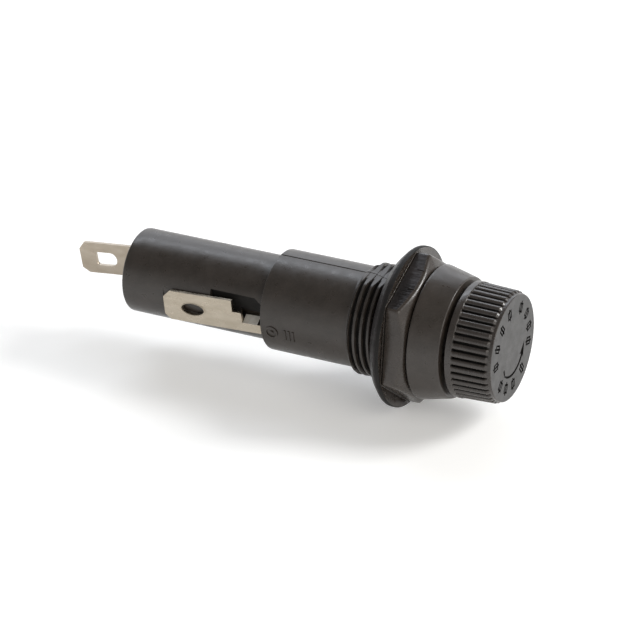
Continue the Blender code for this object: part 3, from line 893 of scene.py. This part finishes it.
def carrier_ferrule():
    """The knob's fuse clip: a drawn sleeve with a rolled mouth, split into two springy fingers."""
    profile = [
        (3.9, -2.9, 0.3), (3.9, 16.2, 0.1), (3.82, 16.5, 0.06), (3.5, 16.5, 0.06),
        (3.52, 15.8, 0.1), (3.5, -2.5, 0.2), (RIVET_BORE_R, -2.5, 0.05), (RIVET_BORE_R, -2.9, 0.05),
    ]
    ferrule = turned("ferrule_piece", profile, 128)
    ferrule = combine(ferrule, [boxes("slits", [((-5, 5), (9.4, 18), (-0.3, 0.3))])])
    finish_piece(ferrule, "knob_carrier", [TIN], ["carrier_ferrule"])


def carrier_spring():
    """The compression spring, its end coils closed up."""
    curve = bpy.data.curves.new("spring_piece", "CURVE")
    curve.dimensions = "3D"
    curve.bevel_depth = SPRING_WIRE_R * 1e-3
    curve.bevel_resolution = 3
    curve.use_fill_caps = True
    spline = curve.splines.new("POLY")
    turns, per_turn, radius = 8, 36, 2.45
    low, high = -1.25, 8.5
    spline.points.add(turns * per_turn)
    for i, point in enumerate(spline.points):
        share = i / (turns * per_turn)
        angle = math.tau * turns * share
        rise = share - 0.035 * math.sin(math.tau * share) * 2
        y = low + (high - low) * rise
        x, z = radius * 1e-3 * math.cos(angle), radius * 1e-3 * math.sin(angle)
        point.co = (x, y * 1e-3, z, 1)
    obj = bpy.data.objects.new("spring_piece", curve)
    bpy.context.scene.collection.objects.link(obj)
    spring = evaluated(obj)
    finish_piece(spring, "plunger", [STEEL], ["carrier_spring"], sharp=60)
    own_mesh(spring)


def fuse():
    """Glass cartridge fuse: crimped caps, tube, wire and solder."""
    front = [
        (FUSE_R, FUSE_FRONT, 0.3), (FUSE_R, 15.9, 0.1), (3.12, 16.15, 0.1), (FUSE_R, 16.5, 0.1),
        (2.905, 16.5, 0.04), (2.905, 10.5, 0.0),
    ]
    rear = [(r, FUSE_FRONT + FUSE_REAR - y, size) for r, y, size in front]
    for name, profile in (("fuse_cap_front", front), ("fuse_cap_rear", rear)):
        cap = turned(name + "_piece", profile, 96, ring=False)
        finish_piece(cap, "fuse", [NICKEL], [name])
    tube = [
        (2.65, GLASS_FRONT, 0.15), (2.65, GLASS_REAR, 0.15), (2.0, GLASS_REAR, 0.12),
        (2.0, GLASS_FRONT, 0.12),
    ]
    glass_tube = turned("fuse_tube_piece", tube, 96)
    finish_piece(glass_tube, "fuse", [GLASS], ["fuse_glass"])
    solder_ends = (("fuse_solder_front", GLASS_FRONT, 1), ("fuse_solder_rear", GLASS_REAR, -1))
    for name, y, way in solder_ends:
        bead = [(1.7, y, 0.2), (1.3, y + 0.5 * way, 0.3), (0.4, y + 1.3 * way, 0.15)]
        blob = turned(name + "_piece", bead, 48, ring=False)
        finish_piece(blob, "fuse", [SOLDER], [name])
    wire = [(0.15, 12.3, 0.03), (0.15, 39.75, 0.03)]
    element = turned("fuse_wire_piece", wire, 24, ring=False)
    finish_piece(element, "fuse", [STEEL], ["fuse_element"])


# ---- studio ----------------------------------------------------------------------------------
def floor():
    bpy.ops.mesh.primitive_plane_add(size=6, location=(0, 0, FLOOR_HEIGHT))
    plane = bpy.context.object
    plane.name = "floor"
    m = Nodes("pale_floor")
    colour = m.mix(m.noise(6, 2), (0.90, 0.90, 0.895), (0.93, 0.93, 0.925))
    m.link(colour, m.shader.inputs["Base Color"])
    m.set(Roughness=0.9, Specular_IOR_Level=0.1)
    m.set(Emission_Color=(1.0, 0.99, 0.97, 1), Emission_Strength=0.22)
    plane.data.materials.append(m.material)


def softbox(name, towards, distance, size, radiance, tint=(1, 1, 1)):
    """A square-cornered soft light at a direction from the object, of a given brightness."""
    light = bpy.data.lights.new(name, "AREA")
    light.shape = "RECTANGLE"
    light.size, light.size_y = size
    light.energy = radiance * math.pi * size[0] * size[1]
    light.color = tint
    obj = bpy.data.objects.new(name, light)
    bpy.context.scene.collection.objects.link(obj)
    aim = Vector(towards).normalized()
    obj.location = aim * distance + Vector((0, 0.02, 0))
    obj.rotation_mode = "QUATERNION"
    obj.rotation_quaternion = aim.to_track_quat("Z", "Y")
    obj.visible_camera = False


def studio():
    """A pale floor, a world that darkens with height, and four soft lights."""
    floor()
    world = bpy.data.worlds.new("studio")
    bpy.context.scene.world = world
    world.use_nodes = True
    tree = world.node_tree
    backdrop = tree.nodes["Background"]
    height = tree.nodes.new("ShaderNodeSeparateXYZ")
    fall = tree.nodes.new("ShaderNodeMapRange")
    fall.interpolation_type = "SMOOTHSTEP"
    fall.inputs["From Min"].default_value, fall.inputs["From Max"].default_value = 0.12, 0.6
    fall.inputs["To Min"].default_value, fall.inputs["To Max"].default_value = 0.85, 0.2
    direction = tree.nodes.new("ShaderNodeTexCoord").outputs["Generated"]
    tree.links.new(direction, height.inputs["Vector"])
    tree.links.new(height.outputs["Z"], fall.inputs["Value"])
    tree.links.new(fall.outputs["Result"], backdrop.inputs["Strength"])
    backdrop.inputs["Color"].default_value = (1, 1, 1, 1)
    softbox("back_box", (0.72, 0.40, 0.52), 1.2, (1.2, 0.9), 1.35, (0.87, 0.92, 1.0))
    softbox("strip_box", (0.50, 0.42, 0.76), 1.1, (0.9, 0.2), 4.6, (0.87, 0.92, 1.0))
    softbox("front_box", (-0.45, -0.65, 0.6), 1.2, (0.8, 0.8), 2.6, (1.0, 0.965, 0.91))
    softbox("rim_box", (0.41, -0.72, 0.56), 1.2, (0.36, 0.36), 24.0, (1.0, 0.995, 0.985))


def camera():
    """The camera at the viewing angle, from its three directions and its place in metres."""
    data = bpy.data.cameras.new("photo_angle")
    data.sensor_width = 36.0
    data.lens = 168.75
    data.clip_start, data.clip_end = 0.01, 20
    obj = bpy.data.objects.new("photo_angle", data)
    bpy.context.scene.collection.objects.link(obj)
    right = (0.44400, -0.89508, -0.04119)
    up = (0.47016, 0.19359, 0.86109)
    forward = (0.76277, 0.40169, -0.50678)
    place = Matrix.Identity(4)
    for row in range(3):
        place[row][0], place[row][1], place[row][2] = right[row], up[row], -forward[row]
    place.translation = (-0.320586, -0.151399, 0.210864)
    obj.matrix_world = place
    bpy.context.scene.camera = obj


holder_shell()
mounting_nut()
panel_gasket()
knob()
side_terminal()
end_terminal()
contact_sleeve()
rivets()
cups()
carrier_ferrule()
carrier_spring()
fuse()
studio()
camera()
bpy.context.scene.view_settings.view_transform = "Standard"
